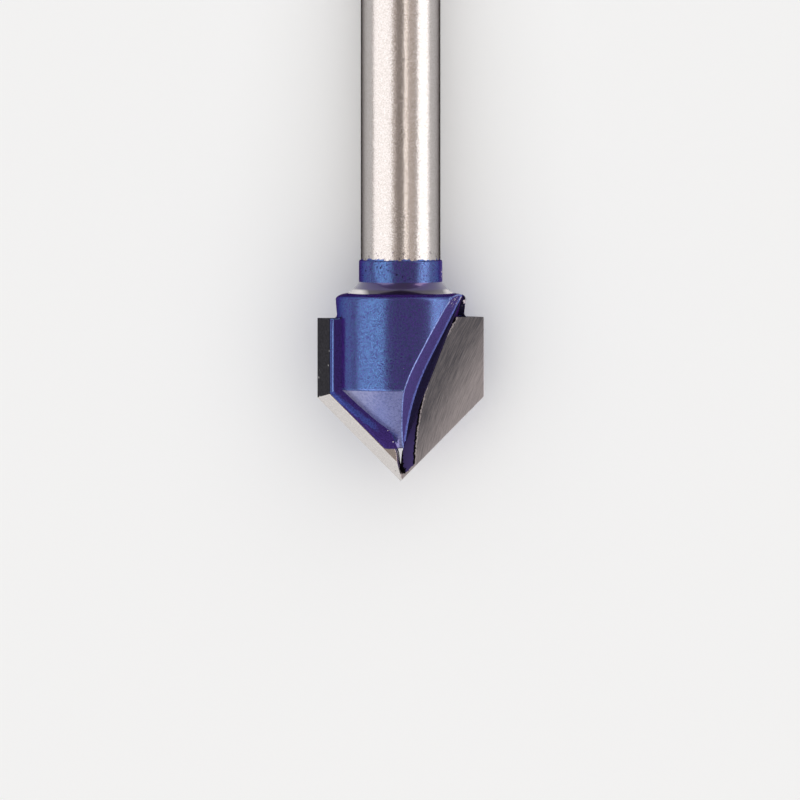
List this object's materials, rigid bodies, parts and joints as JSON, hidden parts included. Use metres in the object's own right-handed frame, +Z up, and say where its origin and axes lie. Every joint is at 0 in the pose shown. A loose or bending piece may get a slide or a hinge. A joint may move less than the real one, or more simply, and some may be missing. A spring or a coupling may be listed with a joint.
{
  "type": "v groove router bit",
  "caption": "V groove router bit with a blue painted steel head, brazed carbide cutting plates ground to a right-angled point, and a plain ground shank.",
  "frame": {"origin": "on the ground under the middle of the bit, as it lies on the rim of its head and the end of its shank", "axes": "+Y along the ground from the point towards the shank, +Z up, +X to the right seen from above with the point nearest the viewer"},
  "size_m": [0.0126, 0.045, 0.0104],
  "materials": {
    "PaintedSteel": "metallic blue paint on the head, fine ground bare steel on the shank",
    "Carbide": "ground tungsten carbide"
  },
  "bodies": {
    "root": {"Body": "PaintedSteel", "PlateA": "Carbide", "PlateB": "Carbide"}
  },
  "joints": []
}
